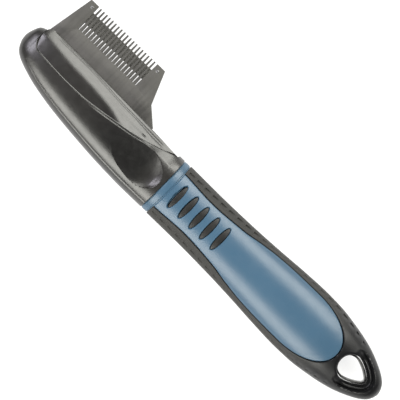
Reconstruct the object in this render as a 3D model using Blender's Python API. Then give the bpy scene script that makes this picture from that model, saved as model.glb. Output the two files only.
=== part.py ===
"""Dematting comb with a two-colour handle, lying on its back. Metres, +Z up.

+X runs from the nose to the hanging loop, +Y towards the teeth and +Z out of the front face.
The origin lies on the flat of the rear core that the comb rests on, below the handle's axis.
Lengths below are in millimetres: x from the nose's tip, y from the handle's axis and z from the
parting plane between the front and rear halves. place() turns them into the part's own frame.
"""

import math

import bmesh
import bpy
from mathutils import Matrix, Vector

MM = 0.001
ORIGIN_X = 110.0  # the origin's distance from the nose's tip
REST_DEPTH = 10.0  # the flat that the comb lies on, below the parting plane
WELD = 0.002  # points closer than this are one
GAP = 0.3  # clearance between pieces that touch
SPLIT = GAP / 2  # half the clearance at the parting plane
RING = 28  # points round a section
DOME = 2.2  # the sections' roundness: 2 is an ellipse
BEYOND = 20.0  # how far a cutter reaches past the surfaces it cuts

LENGTH = 180.0
HEAD_END = 72.4
COLLAR = (72.7, 74.9)
HANDLE_START = 75.3
BOW = 0.7  # how far the collar's edges bulge towards the loop on the front and back

SKIN = 1.6  # depth of the hard core under the soft skin
CORE_END = 157.0
INLAY_END = 159.0
INLAY_ROUND_FROM = 140.0
INLAY_BELLY = 11.0
INLAY_END_ROUND = 2.3

PLATE_Z = (0.55, 1.35)  # the front comb plate's back and front faces
STRIP_Z = 0.25
TEETH = 19
PITCH = 1.491
FIRST_SLOT = 12.26
TIP_Y = 29.2
SLOT_BOTTOM_Y = 18.4
SLOT_TOP_HALF = 0.50
SLOT_BOTTOM_HALF = 0.23
STRIP_Y = (21.45, 26.17)
STRIP_TAB_Y = 28.2
STRIP_RIVETS = {"left": (10.25, 27.2), "right": (43.0, 27.2)}
STRIP_RIVET_R = 0.5
PLATE_RIVETS = [(16.0, 9.0), (30.0, 9.0), (44.0, 10.3)]
PLATE_RIVET_R = 1.2

TONGUE = (14.0, 40.0, -4.2, 4.5, 1.6)  # x from and to, y from and to, half thickness
SCREWS_X = (18.5, 27.5, 36.5)
SCREW_Y = -1.2
SCREW_HEAD_R = 2.2
SCREW_R = 1.1
SCREW_SEAT_Z = -4.4
SCREW_TOP_Z = -6.4
SCREW_TIP_Z = 4.8

TANG = (54.0, 118.0, 4.5, 1.25)  # x from and to, half height, half thickness
TANG_PINS_X = (58.0, 66.0, 88.0, 108.0)
PIN_R = 1.5
PIN_HALF = 5.5

PADS = 5
FIRST_PAD = 79.5
PAD_PITCH = 5.33
PAD_HALF_LENGTH = 5.25
PAD_HALF_WIDTH = 1.22
PAD_Y = 0.35
PAD_SUNK = 0.35
PAD_FLOOR = 7.2

LINER_WALL = 0.9
LINER_HALF = 4.3

HEAD_TOP = [(0, 3.6), (0.3, 5.4), (2.2, 9.4), (4.4, 10.4), (8, 11.4), (30, 11.7), (60, 11.35), (73, 11.35)]
HEAD_FOOT = [(0, 3.4), (0.3, 1.4), (2.2, -2.0), (4.4, -3.6), (8.7, -5.2), (15.1, -6.9), (25.8, -8.7),
             (38.7, -10.05), (51.6, -11.0), (62, -11.4), (73, -11.35)]
RAIL_TOP = [(4, 11.0), (7, 12.15), (33, 11.85), (60, 11.0), (69, 10.55), (73, 10.5)]
SEAM = [(6.25, 3.4), (7.3, 2.9), (11.7, 2.45), (22.4, 1.95), (29.6, 2.15), (38.5, 3.15), (45.7, 4.3),
        (52, 5.4), (60.9, 7.65), (68, 10.1), (69.2, 10.6)]
GRIP_HALF = [(75, 11.5), (90, 11.4), (105, 11.67), (118, 12.25), (131, 13.1), (141, 13.5), (148, 13.35),
             (156.75, 12.3), (165.3, 10.5), (173.9, 7.1), (178.2, 4.2), (179.6, 2.0), (180, 0.6)]
INLAY_HALF = [(70, 8.0), (75.3, 7.95), (90, 7.2), (105, 8.2), (113, 9.5), (121.7, 10.5), (130, 10.9),
              (140, INLAY_BELLY)]
FRONT_HEIGHT = [(0, 0.5), (0.3, 1.7), (1.3, 3.4), (2.3, 4.3), (4.4, 5.4), (7, 6.3), (12, 7.2), (20, 8.0),
                (35, 8.8), (50, 9.2), (68, 9.5), (88, 9.5), (105, 10.0), (120, 10.6), (138, 11.2), (148, 11.0),
                (156, 9.9), (165, 7.5), (172, 5.8), (177, 4.6), (179, 3.0), (180, 0.6)]
REAR_HEIGHT = [(0, 0.5), (0.3, 1.7), (1.3, 3.4), (2.3, 4.3), (4.4, 5.4), (7, 6.3), (12, 7.2), (20, 8.2),
               (35, 9.3), (50, 10.1), (62, 10.3), (88, 10.3), (105, 10.5), (120, 11.0), (138, 11.5), (148, 11.1),
               (156, 9.9), (165, 7.5), (172, 5.8), (177, 4.6), (179, 3.0), (180, 0.6)]
HOLE = [(161.8, 0.0), (162.2, 2.2), (163.4, 3.6), (165.3, 4.0), (167.5, 3.5), (169.6, 2.6), (171.7, 1.3),
        (172.5, 0.5)]
DISH_HALF = [(47.5, 0.3), (50, 2.6), (53, 4.8), (58, 6.6), (62.5, 7.2), (67, 6.0), (69.5, 4.0), (70.9, 1.2)]
DISH_DEPTH = [(47.5, 0.1), (50, 0.6), (54, 1.5), (60, 2.6), (66, 2.6), (69.5, 1.6), (70.9, 0.5)]
DISH_Y = -0.6

HEAD_STATIONS = [0.0, 0.3, 0.8, 1.5, 2.4, 3.6, 5.2, 7.5, 10.5, 14, 19, 25, 32, 40, 48, 56, 62, 67, 70, HEAD_END]
GRIP_STATIONS = [HANDLE_START, 78, 83, 90, 97, 104, 111, 118, 125, 131, 137, 143, 149, 154, 158.5, 162.5,
                 166.5, 170, 173, 175.5, 177.5, 178.8, 179.6, 180.0]


def place(x, y, z):
    """The point in the part's frame, still in millimetres: node() scales each finished piece."""
    return Vector((x - ORIGIN_X, y, z + REST_DEPTH))


def smooth(points, x):
    """A curve through the points that never overshoots them (monotone cubic)."""
    if x <= points[0][0]:
        return points[0][1]
    if x >= points[-1][0]:
        return points[-1][1]
    i = next(k for k in range(len(points) - 1) if x <= points[k + 1][0])

    def slope(k):
        return (points[k + 1][1] - points[k][1]) / (points[k + 1][0] - points[k][0])

    def tangent(k):
        if k == 0 or k == len(points) - 1:
            return slope(min(k, len(points) - 2))
        before, after = slope(k - 1), slope(k)
        return 0.0 if before * after <= 0 else 2 * before * after / (before + after)

    (x0, y0), (x1, y1) = points[i], points[i + 1]
    span = x1 - x0
    t = (x - x0) / span
    t2, t3 = t * t, t * t * t
    return ((2 * t3 - 3 * t2 + 1) * y0 + (t3 - 2 * t2 + t) * span * tangent(i)
            + (3 * t2 - 2 * t3) * y1 + (t3 - t2) * span * tangent(i + 1))


# Materials


def finish(name, colour, roughness, metallic=0.0):
    material = bpy.data.materials.new(name)
    material.use_nodes = True
    shader = material.node_tree.nodes["Principled BSDF"]
    shader.inputs["Base Color"].default_value = (*colour, 1.0)
    shader.inputs["Roughness"].default_value = roughness
    shader.inputs["Metallic"].default_value = metallic
    return material


# Mesh tools


def new_object(name, bm):
    bmesh.ops.recalc_face_normals(bm, faces=bm.faces)
    bmesh.ops.triangulate(bm, faces=bm.faces)
    mesh = bpy.data.meshes.new(name)
    bm.to_mesh(mesh)
    bm.free()
    obj = bpy.data.objects.new(name, mesh)
    bpy.context.scene.collection.objects.link(obj)
    return obj


def loft(name, stations, point, segments=RING):
    """A skin over the rings at the stations. point(x, t) is the ring's point at the angle t."""
    bm = bmesh.new()
    angle = bm.verts.layers.float.new("angle")
    ring = bmesh.ops.create_circle(bm, segments=segments, radius=1.0)["verts"]
    for v in ring:
        v[angle] = math.atan2(v.co.y, v.co.x)
    for v in ring:
        v.co = point(stations[0], v[angle])
    edges = list(bm.edges)
    bmesh.ops.contextual_create(bm, geom=edges)
    for x in stations[1:]:
        grown = bmesh.ops.extrude_edge_only(bm, edges=edges)["geom"]
        for v in (g for g in grown if isinstance(g, bmesh.types.BMVert)):
            v.co = point(x, v[angle])
        edges = [g for g in grown if isinstance(g, bmesh.types.BMEdge)]
        edges = [e for e in edges if all(v in grown for v in e.verts)]
    bmesh.ops.contextual_create(bm, geom=edges)
    return new_object(name, bm)


def prism(name, outline, low, high):
    bm = bmesh.new()
    face = bm.faces.new([bm.verts.new(place(x, y, low)) for x, y in outline])
    grown = bmesh.ops.extrude_face_region(bm, geom=[face])["geom"]
    rise = Vector((0, 0, high - low))
    bmesh.ops.translate(bm, vec=rise, verts=[g for g in grown if isinstance(g, bmesh.types.BMVert)])
    return new_object(name, bm)


def box(name, x0, x1, y0, y1, z0, z1):
    return prism(name, [(x0, y0), (x1, y0), (x1, y1), (x0, y1)], z0, z1)


def rod(name, x, y, low, high, radius, segments=16):
    outline = [(x + radius * math.cos(2 * math.pi * k / segments), y + radius * math.sin(2 * math.pi * k / segments))
               for k in range(segments)]
    return prism(name, outline, low, high)


def combine(obj, other, operation):
    """Applies an exact Boolean to obj and removes the other object."""
    modifier = obj.modifiers.new("shape", "BOOLEAN")
    modifier.operation = operation
    modifier.object = other
    modifier.solver = "EXACT"
    depsgraph = bpy.context.evaluated_depsgraph_get()
    mesh = bpy.data.meshes.new_from_object(obj.evaluated_get(depsgraph))
    bm = bmesh.new()
    bm.from_mesh(mesh)
    bmesh.ops.remove_doubles(bm, verts=bm.verts, dist=WELD)
    bmesh.ops.dissolve_degenerate(bm, edges=bm.edges, dist=WELD)
    bmesh.ops.triangulate(bm, faces=bm.faces)
    bm.to_mesh(mesh)
    bm.free()
    obj.modifiers.clear()
    obj.data = mesh
    bpy.data.objects.remove(other)
    return obj


def cut(obj, other):
    return combine(obj, other, "DIFFERENCE")


def keep(obj, other):
    return combine(obj, other, "INTERSECT")


def join(obj, other):
    return combine(obj, other, "UNION")


def node(obj, name, material):
    obj.name = obj.data.name = name
    obj.data.transform(Matrix.Scale(MM, 4))
    obj.data.materials.clear()
    obj.data.materials.append(material)
    return obj


def offset(outline, distance):
    """The closed outline, given anticlockwise, moved outwards by the distance."""
    moved = []
    count = len(outline)
    for k, (x, y) in enumerate(outline):
        before = Vector(outline[k - 1])
        after = Vector(outline[(k + 1) % count])
        here = Vector((x, y))
        one = (here - before).normalized()
        two = (after - here).normalized()
        out = Vector((one.y + two.y, -one.x - two.x)).normalized()
        share = max(0.5, out.dot(Vector((one.y, -one.x))))
        moved.append(tuple(here + out * (distance / share)))
    return moved


# Sections and outlines


def dome(value, power):
    return math.copysign(abs(value) ** (2.0 / power), value)


def bowed(x, rise):
    """How far a section bulges towards the loop near the collar, at a share of its full height."""
    near = max(0.0, 1.0 - abs(x - HANDLE_START) / 12.0)
    return BOW * near * rise * rise


def section(x, t, top, foot, inset):
    middle = (top + foot) / 2
    half = max(0.05, (top - foot) / 2 - inset)
    height = smooth(FRONT_HEIGHT if t >= 0 else REAR_HEIGHT, x) - inset
    rise = dome(math.sin(t), DOME)
    z = max(max(0.05, height) * rise, -REST_DEPTH + inset)
    return place(x + bowed(x, rise), middle + half * dome(math.cos(t), DOME), z)


def head_point(x, t, inset=0.0):
    return section(x, t, smooth(HEAD_TOP, x), smooth(HEAD_FOOT, x), inset)


def rail_point(x, t):
    """The holder's own skin: its top edge is the rail's, and it lies a little below the shells."""
    return section(x, t, smooth(RAIL_TOP, x) + 0.35, smooth(HEAD_FOOT, x), 0.35)


def grip_point(x, t, inset=0.0):
    half = smooth(GRIP_HALF, x)
    return section(x, t, half, -half, inset)


def grip_solid(name, inset=0.0, start=HANDLE_START, end=LENGTH):
    stations = [start] + [x for x in GRIP_STATIONS if start < x < end] + [end]
    return loft(name, stations, lambda x, t: grip_point(x, t, inset))


def holder_outline():
    corner = [(7.1 - 2.5 * math.cos(a), 9.7 + 2.5 * math.sin(a)) for a in (0.0, 0.4, 0.8, 1.2, 1.57)]
    seam = [(x, smooth(SEAM, x)) for x in (7.3, 9, 11.7, 17, 22.4, 29.6, 35, 41, 46, 52, 57, 61, 65, 68)]
    return [(4.6, 6.5), (5.2, 4.9), (6.25, 3.5)] + seam + [(69.2, 10.6), (69.4, BEYOND), (7.1, BEYOND)] + corner[::-1]


def inlay_half(x):
    if x <= INLAY_ROUND_FROM:
        return smooth(INLAY_HALF, x)
    share = min(1.0, (x - INLAY_ROUND_FROM) / (INLAY_END - INLAY_ROUND_FROM))
    return INLAY_BELLY * (1.0 - share**INLAY_END_ROUND) ** (1.0 / INLAY_END_ROUND)


def inlay_outline(start):
    """The inlay in plan, anticlockwise from the collar along its lower edge."""
    straight = [start, 80, 85, 90, 95, 100, 105, 110, 116, 122, 131]
    end = [INLAY_END - (INLAY_END - INLAY_ROUND_FROM) * (1.0 - math.sin(a)) for a in (0.0, 0.3, 0.6, 0.85, 1.1, 1.3, 1.45)]
    lower = [(x, -inlay_half(x)) for x in straight + end]
    return lower + [(INLAY_END, 0.0)] + [(x, -y) for x, y in reversed(lower)]


def hole_outline():
    lower = [(x, -y) for x, y in HOLE]
    return lower + [(172.7, 0.0)] + [(x, -y) for x, y in reversed(lower[1:])]


def pad_outline(x, grow=0.0):
    turns = [2 * math.pi * k / 20 for k in range(20)]
    return [(x + (PAD_HALF_WIDTH + grow) * math.cos(a), PAD_Y + (PAD_HALF_LENGTH + grow) * math.sin(a)) for a in turns]


def tang_outline(top):
    """The foot of the comb plates and the spacer, inside the holder, up to the height top."""
    return [(7.4, 10.3), (7.4, 5.6), (40.0, 5.6), (50.0, 8.4), (56.0, 9.7), (56.0, 11.6)] + top


def comb_outline():
    """The comb plate: a tapered plate with slots, and the tang that sits in the holder."""
    outline = tang_outline([(49.7, 17.2), (44.8, TIP_Y), (FIRST_SLOT + TEETH * PITCH + SLOT_TOP_HALF, TIP_Y)])
    for k in reversed(range(TEETH + 1)):
        centre = FIRST_SLOT + k * PITCH
        if k < TEETH:
            outline.append((centre + SLOT_TOP_HALF, TIP_Y))
        for a in (0.0, 0.8, math.pi / 2, math.pi - 0.8, math.pi):
            outline.append((centre + SLOT_BOTTOM_HALF * math.cos(a), SLOT_BOTTOM_Y - SLOT_BOTTOM_HALF * math.sin(a)))
        outline.append((centre - SLOT_TOP_HALF, TIP_Y))
    return outline + [(8.14, TIP_Y), (4.9, 11.0)]


# The blade


def blade_holes(obj):
    for x, y in STRIP_RIVETS.values():
        cut(obj, rod("hole", x, y, -BEYOND, BEYOND, STRIP_RIVET_R + GAP, 12))
    return obj


def tang_holes(obj):
    for x, y in PLATE_RIVETS:
        cut(obj, rod("hole", x, y, -BEYOND, BEYOND, PLATE_RIVET_R + GAP))
    return obj


def comb_plates(steel):
    back, front = PLATE_Z
    for name, low, high in (("front_comb_plate", back, front), ("rear_comb_plate", -front, -back)):
        node(blade_holes(tang_holes(prism(name, comb_outline(), low, high))), name, steel)


def cutting_strip(steel):
    low, high = STRIP_Y
    outline = [(9.3, low), (44.2, low), (44.2, STRIP_TAB_Y), (41.6, STRIP_TAB_Y), (41.6, high), (11.1, high),
               (11.1, STRIP_TAB_Y), (9.3, STRIP_TAB_Y)]
    node(blade_holes(prism("strip", outline, -STRIP_Z, STRIP_Z)), "cutting_strip", steel)


def spacer_plate(steel):
    outline = tang_outline([(50.2, 16.6), (49.3, 17.3), (6.4, 17.3), (5.4, 11.4)])
    node(tang_holes(prism("spacer", outline, -STRIP_Z, STRIP_Z)), "spacer_plate", steel)


def blade_rivets(steel):
    reach = PLATE_Z[1]
    for side, (x, y) in STRIP_RIVETS.items():
        node(rod("rivet", x, y, -reach, reach, STRIP_RIVET_R, 12), f"strip_rivet_{side}", steel)
    for k, (x, y) in enumerate(PLATE_RIVETS, 1):
        node(rod("rivet", x, y, -reach, reach, PLATE_RIVET_R), f"plate_rivet_{k}", steel)


# The head


def blade_holder(plastic):
    stations = [3.5] + [x for x in HEAD_STATIONS if 5 < x < 71] + [71.0]
    holder = keep(loft("holder", stations, rail_point), prism("plan", holder_outline(), -BEYOND, BEYOND))
    x0, x1, y0, y1, half = TONGUE
    join(holder, box("tongue", x0, x1, y0, y1, -half, half))
    slot = [(7.1, 9.9), (7.1, 5.3), (40.1, 5.3), (50.1, 8.1), (56.3, 9.4), (56.3, BEYOND), (3.0, BEYOND), (3.0, 9.9)]
    cut(holder, prism("slot", slot, -PLATE_Z[1] - GAP, PLATE_Z[1] + GAP))
    for x in SCREWS_X:
        cut(holder, rod("hole", x, SCREW_Y, -BEYOND, BEYOND, SCREW_R + GAP, 12))
    node(holder, "blade_holder", plastic)


def shell_pockets(shell):
    """Makes room for the holder with its tongue, the tang and its pins."""
    cut(shell, prism("plan", offset(holder_outline(), GAP), -BEYOND, BEYOND))
    x0, x1, y0, y1, half = TONGUE
    cut(shell, box("tongue", x0 - GAP, x1 + GAP, y0 - GAP, y1 + 3, -half - GAP, half + GAP))
    start, _, high, thick = TANG
    cut(shell, box("tang", start - GAP, HEAD_END + 5, -high - GAP, high + GAP, -thick - GAP, thick + GAP))
    for x in TANG_PINS_X[:2]:
        cut(shell, rod("hole", x, 0, -PIN_HALF - GAP, PIN_HALF + GAP, PIN_R + GAP))
    return shell


def dish_point(x, t):
    """The thumb dish's cutter: ellipses centred on the crest of the front face."""
    crest = smooth(FRONT_HEIGHT, x)
    y = DISH_Y + smooth(DISH_HALF, x) * math.cos(t)
    return place(x, y, crest + smooth(DISH_DEPTH, x) * math.sin(t) * (1.0 if t < 0 else 2.0))


def head_front_shell(plastic):
    shell = shell_pockets(loft("front", HEAD_STATIONS, head_point))
    for x in SCREWS_X:
        cut(shell, rod("hole", x, SCREW_Y, -BEYOND, SCREW_TIP_Z + GAP, SCREW_R + GAP, 12))
    cut(shell, loft("dish", [47.5, 49, 51, 54, 58, 62, 65, 67.5, 69.3, 70.3, 70.9], dish_point, 20))
    keep(shell, box("half", -BEYOND, LENGTH, -BEYOND, BEYOND, SPLIT, BEYOND))
    node(shell, "head_front_shell", plastic)


def head_rear_shell(plastic):
    shell = shell_pockets(loft("rear", HEAD_STATIONS, head_point))
    for x in SCREWS_X:
        cut(shell, rod("hole", x, SCREW_Y, -BEYOND, BEYOND, SCREW_R + GAP, 12))
        cut(shell, rod("bore", x, SCREW_Y, -BEYOND, SCREW_SEAT_Z - GAP, SCREW_HEAD_R + GAP))
    keep(shell, box("half", -BEYOND, LENGTH, -BEYOND, BEYOND, -BEYOND, -SPLIT))
    node(shell, "head_rear_shell", plastic)


def head_screws(steel):
    for k, x in enumerate(SCREWS_X, 1):
        screw = rod("screw", x, SCREW_Y, SCREW_TOP_Z, SCREW_SEAT_Z - 2 * GAP, SCREW_HEAD_R)
        join(screw, rod("shank", x, SCREW_Y, SCREW_SEAT_Z - 1.0, SCREW_TIP_Z, SCREW_R, 12))
        node(screw, f"head_screw_{k}", steel)


# The joint between head and handle


def tang(steel):
    start, end, high, thick = TANG
    bar = box("bar", start, end, -high, high, -thick, thick)
    for x in TANG_PINS_X:
        cut(bar, rod("hole", x, 0, -BEYOND, BEYOND, PIN_R + GAP))
    node(bar, "tang", steel)


def tang_pins(steel):
    for k, x in enumerate(TANG_PINS_X, 1):
        node(rod("pin", x, 0, -PIN_HALF, PIN_HALF, PIN_R), f"tang_pin_{k}", steel)


def collar_ring(plastic):
    start, end = COLLAR
    ring = loft("ring", [start, (start + end) / 2, end], lambda x, t: grip_point(x, t, 0.25))
    _, _, high, thick = TANG
    cut(ring, box("slot", 60, 90, -high - GAP, high + GAP, -thick - GAP, thick + GAP))
    node(ring, "collar_ring", plastic)


# The handle


def core(name, low, high, plastic):
    """One half of the hard core: a body under the soft skin, with the inlay raised on it."""
    half = grip_solid("inlay", 0.0)
    keep(half, prism("plan", inlay_outline(70.0), -BEYOND, BEYOND))
    join(half, grip_solid("body", SKIN, HANDLE_START + GAP, CORE_END))
    keep(half, box("half", 0, LENGTH, -BEYOND, BEYOND, low, high))
    _, end, tall, thick = TANG
    cut(half, box("slot", 60, end + GAP, -tall - GAP, tall + GAP, -thick - GAP, thick + GAP))
    for x in TANG_PINS_X[2:]:
        cut(half, rod("hole", x, 0, -PIN_HALF - GAP, PIN_HALF + GAP, PIN_R + GAP))
    side = 1 if high > 0 else -1
    for k in range(PADS):
        floor, top = sorted((side * (PAD_FLOOR - GAP), side * BEYOND))
        cut(half, prism("pocket", pad_outline(FIRST_PAD + k * PAD_PITCH, GAP), floor, top))
    node(half, name, plastic)


def finger_pads(rubber):
    for name, side in (("front", 1), ("rear", -1)):
        for k in range(PADS):
            floor, top = sorted((side * PAD_FLOOR, side * BEYOND))
            pad = prism("pad", pad_outline(FIRST_PAD + k * PAD_PITCH), floor, top)
            keep(pad, grip_solid("surface", PAD_SUNK, HANDLE_START, 115.0))
            node(pad, f"finger_pad_{name}_{k + 1}", rubber)


def funnel(side):
    """The scoop that leads into the hanging hole, widest round the hole's point."""
    rim = offset(hole_outline(), LINER_WALL + GAP)
    flared = [(x + 3.5 * (x - 163) / 10, y * (1 + 0.7 * max(0.0, x - 163) / 10)) for x, y in rim]
    bm = bmesh.new()
    rings = []
    for outline, z in ((rim, LINER_HALF - 0.2), (flared, LINER_HALF + 3.2)):
        rings.append([bm.verts.new(place(x, y, side * z)) for x, y in outline])
    edges = [bm.edges.new((ring[k - 1], ring[k])) for ring in rings for k in range(len(ring))]
    bmesh.ops.bridge_loops(bm, edges=edges)
    for ring in rings:
        bm.faces.new(ring)
    return new_object("funnel", bm)


def grip_overmould(rubber):
    grip = grip_solid("grip")
    cut(grip, grip_solid("body", SKIN - GAP, HANDLE_START - 3, CORE_END + GAP))
    cut(grip, prism("plan", offset(inlay_outline(60.0), GAP), -BEYOND, BEYOND))
    cut(grip, prism("hole", offset(hole_outline(), LINER_WALL + GAP), -BEYOND, BEYOND))
    cut(grip, funnel(1))
    cut(grip, funnel(-1))
    node(grip, "grip_overmould", rubber)


def hang_hole_liner(rubber):
    liner = prism("liner", offset(hole_outline(), LINER_WALL), -LINER_HALF, LINER_HALF)
    cut(liner, prism("hole", hole_outline(), -BEYOND, BEYOND))
    node(liner, "hang_hole_liner", rubber)


def main():
    for obj in list(bpy.data.objects):
        bpy.data.objects.remove(obj)
    head_plastic = finish("head_plastic", (0.05, 0.05, 0.047), 0.38)
    blue_plastic = finish("blue_plastic", (0.08, 0.17, 0.28), 0.35)
    rubber = finish("grip_rubber", (0.045, 0.045, 0.043), 0.6)
    dark_plastic = finish("liner_plastic", (0.02, 0.02, 0.021), 0.25)
    blade_steel = finish("blade_steel", (0.3, 0.29, 0.27), 0.42, 1.0)
    strip_steel = finish("strip_steel", (0.16, 0.155, 0.145), 0.35, 1.0)
    fixing_steel = finish("fixing_steel", (0.45, 0.45, 0.46), 0.3, 1.0)

    comb_plates(blade_steel)
    cutting_strip(strip_steel)
    spacer_plate(blade_steel)
    blade_rivets(fixing_steel)
    blade_holder(head_plastic)
    head_front_shell(head_plastic)
    head_rear_shell(head_plastic)
    head_screws(fixing_steel)
    tang(fixing_steel)
    tang_pins(fixing_steel)
    collar_ring(blue_plastic)
    core("core_front", SPLIT, BEYOND, blue_plastic)
    core("core_rear", -BEYOND, -SPLIT, blue_plastic)
    finger_pads(rubber)
    grip_overmould(rubber)
    hang_hole_liner(dark_plastic)


main()
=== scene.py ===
import math

import bmesh
import bpy
import numpy as np
from mathutils import Matrix, Vector


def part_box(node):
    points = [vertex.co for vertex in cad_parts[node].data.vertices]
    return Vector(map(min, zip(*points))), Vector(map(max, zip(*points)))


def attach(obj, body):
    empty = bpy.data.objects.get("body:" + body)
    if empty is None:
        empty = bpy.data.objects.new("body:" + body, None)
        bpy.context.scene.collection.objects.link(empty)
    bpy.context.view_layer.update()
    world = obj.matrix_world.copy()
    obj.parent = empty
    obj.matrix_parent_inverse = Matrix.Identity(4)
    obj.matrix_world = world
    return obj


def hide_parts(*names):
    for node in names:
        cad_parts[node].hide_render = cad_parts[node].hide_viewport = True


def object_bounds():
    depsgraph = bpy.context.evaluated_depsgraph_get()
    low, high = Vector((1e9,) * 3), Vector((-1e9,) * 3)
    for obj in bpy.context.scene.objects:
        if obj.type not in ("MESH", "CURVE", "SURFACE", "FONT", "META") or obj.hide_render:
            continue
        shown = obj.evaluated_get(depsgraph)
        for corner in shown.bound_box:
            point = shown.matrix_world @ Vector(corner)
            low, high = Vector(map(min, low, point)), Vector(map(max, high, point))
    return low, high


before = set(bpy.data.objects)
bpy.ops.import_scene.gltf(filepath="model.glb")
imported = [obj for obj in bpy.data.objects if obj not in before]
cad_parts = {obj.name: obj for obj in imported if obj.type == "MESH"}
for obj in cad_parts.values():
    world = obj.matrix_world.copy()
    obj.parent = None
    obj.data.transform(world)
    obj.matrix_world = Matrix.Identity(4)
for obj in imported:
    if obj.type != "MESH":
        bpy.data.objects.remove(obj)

# The comb lies on its back: +X from the nose to the hanging loop, +Y to the teeth, +Z out of the
# front face. Shapes are worked out in millimetres, x from the nose's tip, y from the handle's axis
# and z from the parting plane between the front and rear halves, then put into the frame.

MM = 0.001
CAD_BOX = [list(corner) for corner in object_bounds()]
NOSE_X = CAD_BOX[0][0]
PARTING_Z = (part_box("head_front_shell")[0].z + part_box("head_rear_shell")[1].z) / 2
TO_FRAME = Matrix.Translation((NOSE_X, 0.0, PARTING_Z)) @ Matrix.Scale(MM, 4)
LENGTH = (CAD_BOX[1][0] - NOSE_X) / MM
REST_DEPTH = (PARTING_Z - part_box("core_rear")[0].z) / MM
STRIP_HALF = (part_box("cutting_strip")[1].z - PARTING_Z) / MM
PLATE_BACK = (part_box("front_comb_plate")[0].z - PARTING_Z) / MM
PLATE_FRONT = (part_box("front_comb_plate")[1].z - PARTING_Z) / MM
LINER_HALF = (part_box("hang_hole_liner")[1].z - PARTING_Z) / MM
TIP_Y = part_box("front_comb_plate")[1].y / MM

GAP = 0.3
SPLIT = GAP / 2
DOME = 2.2
HEAD_DOME = 2.8
HEAD_END = 72.4
COLLAR = (72.7, 74.9)
HANDLE_START = 75.3
BOW = 0.7

HEAD_TOP = [(0, 3.6), (0.3, 5.4), (2.2, 9.4), (4.4, 10.4), (8, 11.4), (30, 11.7), (60, 11.35),
            (73, 11.35)]
HEAD_FOOT = [(0, 3.4), (0.3, 1.4), (2.2, -2.0), (4.4, -3.6), (8.7, -5.3), (15.1, -7.1), (25.8, -8.95),
             (38.7, -10.3), (51.6, -11.2), (62, -11.5), (73, -11.35)]
RAIL_BEND = [(5, 7.0), (12, 6.4), (20, 5.7), (30, 5.3), (40, 4.4), (50, 2.2), (58, 4.0), (70, 6.6)]
RAIL_BEND_WIDTH = 3.7
RAIL_SLOPE = 0.47
RAIL_TILT = 0.04
RAIL_REACH = 13.5
RAIL_STEPS = 70
CHAMFER_START = 8.0
RAIL_TOP = [(4, 11.0), (7, 12.0), (33, 11.8), (60, 11.0), (69, 10.55), (73, 10.5)]
SEAM = [(6.25, 3.3), (7.3, 2.8), (11.7, 2.35), (22.4, 1.85), (29.6, 2.0), (38.5, 2.95), (45.7, 4.1),
        (52, 5.2), (60.9, 7.5), (68, 10.0), (69.2, 10.5)]
SEAM_GAP = [(6, 0.12), (9, 0.1), (40, 0.09), (50, 0.05), (70, 0.04)]
GRIP_HALF = [(75, 11.5), (90, 11.4), (105, 11.67), (118, 12.25), (131, 13.1), (141, 13.5), (148, 13.35),
             (156.75, 12.3), (165.3, 10.5), (173.9, 7.1), (178.2, 4.2), (179.6, 2.0), (180, 0.6)]
INLAY_HALF = [(70, 8.0), (75.3, 7.95), (90, 7.2), (105, 8.2), (113, 9.5), (121.7, 10.5), (130, 10.9),
              (140, 11.0)]
INLAY_END = 159.0
INLAY_ROUND_FROM = 140.0
INLAY_BELLY = 11.0
INLAY_END_ROUND = 2.12
FRONT_HEIGHT = [(0, 0.5), (0.3, 1.7), (1.3, 3.4), (2.3, 4.3), (4.4, 5.4), (7, 6.3), (12, 7.2), (20, 8.0),
                (35, 8.8), (50, 9.2), (68, 9.5), (88, 9.5), (105, 10.0), (120, 10.6), (138, 11.2),
                (148, 11.0), (156, 9.9), (165, 7.5), (172, 5.8), (177, 4.6), (179, 3.0), (180, 0.6)]
REAR_HEIGHT = [(0, 0.5), (0.3, 1.7), (1.3, 3.4), (2.3, 4.3), (4.4, 5.4), (7, 6.3), (12, 7.2), (20, 8.2),
               (35, 9.3), (50, 10.1), (62, 10.3), (88, 10.3), (105, 10.5), (120, 11.0), (138, 11.5),
               (148, 11.1), (156, 9.9), (165, 7.5), (172, 5.8), (177, 4.6), (179, 3.0), (180, 0.6)]
HOLE = [(161.8, 0.0), (162.15, 1.9), (163.2, 3.35), (165.2, 4.0), (167.4, 3.55), (169.6, 2.6),
        (171.6, 1.35), (172.45, 0.6), (172.7, 0.0)]
LINER_WALL = 0.9
CORE_DEPTH = 1.7
BEYOND_START = 60.0

PADS = 5
FIRST_PAD = 79.5
PAD_PITCH = 5.33
PAD_HALF_LENGTH = 5.25
PAD_HALF_WIDTH = 1.22
PAD_Y = 0.35

TILES = 23
FIRST_TILE = 76.5
TILE_PITCH = 3.92
TILE_LENGTH = 2.7
TILE_DEPTH = 0.42
TILE_EDGE = [(75, 9.75), (90, 9.9), (105, 10.6), (113, 11.1), (125, 11.95), (135, 12.6), (144, 12.85),
             (152, 12.2), (159.5, 10.9), (164, 9.8), (170, 7.6), (175, 5.4), (180, 0.4)]
TILE_STEP = 0.018
TILE_BAND = 1.35
TILES_END = 168.0
TILE_OFFSETS = (-0.1, 0.06, 0.4, 0.9, 1.4, 1.9, 2.35, 2.64, 2.8, 3.3)

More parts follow.
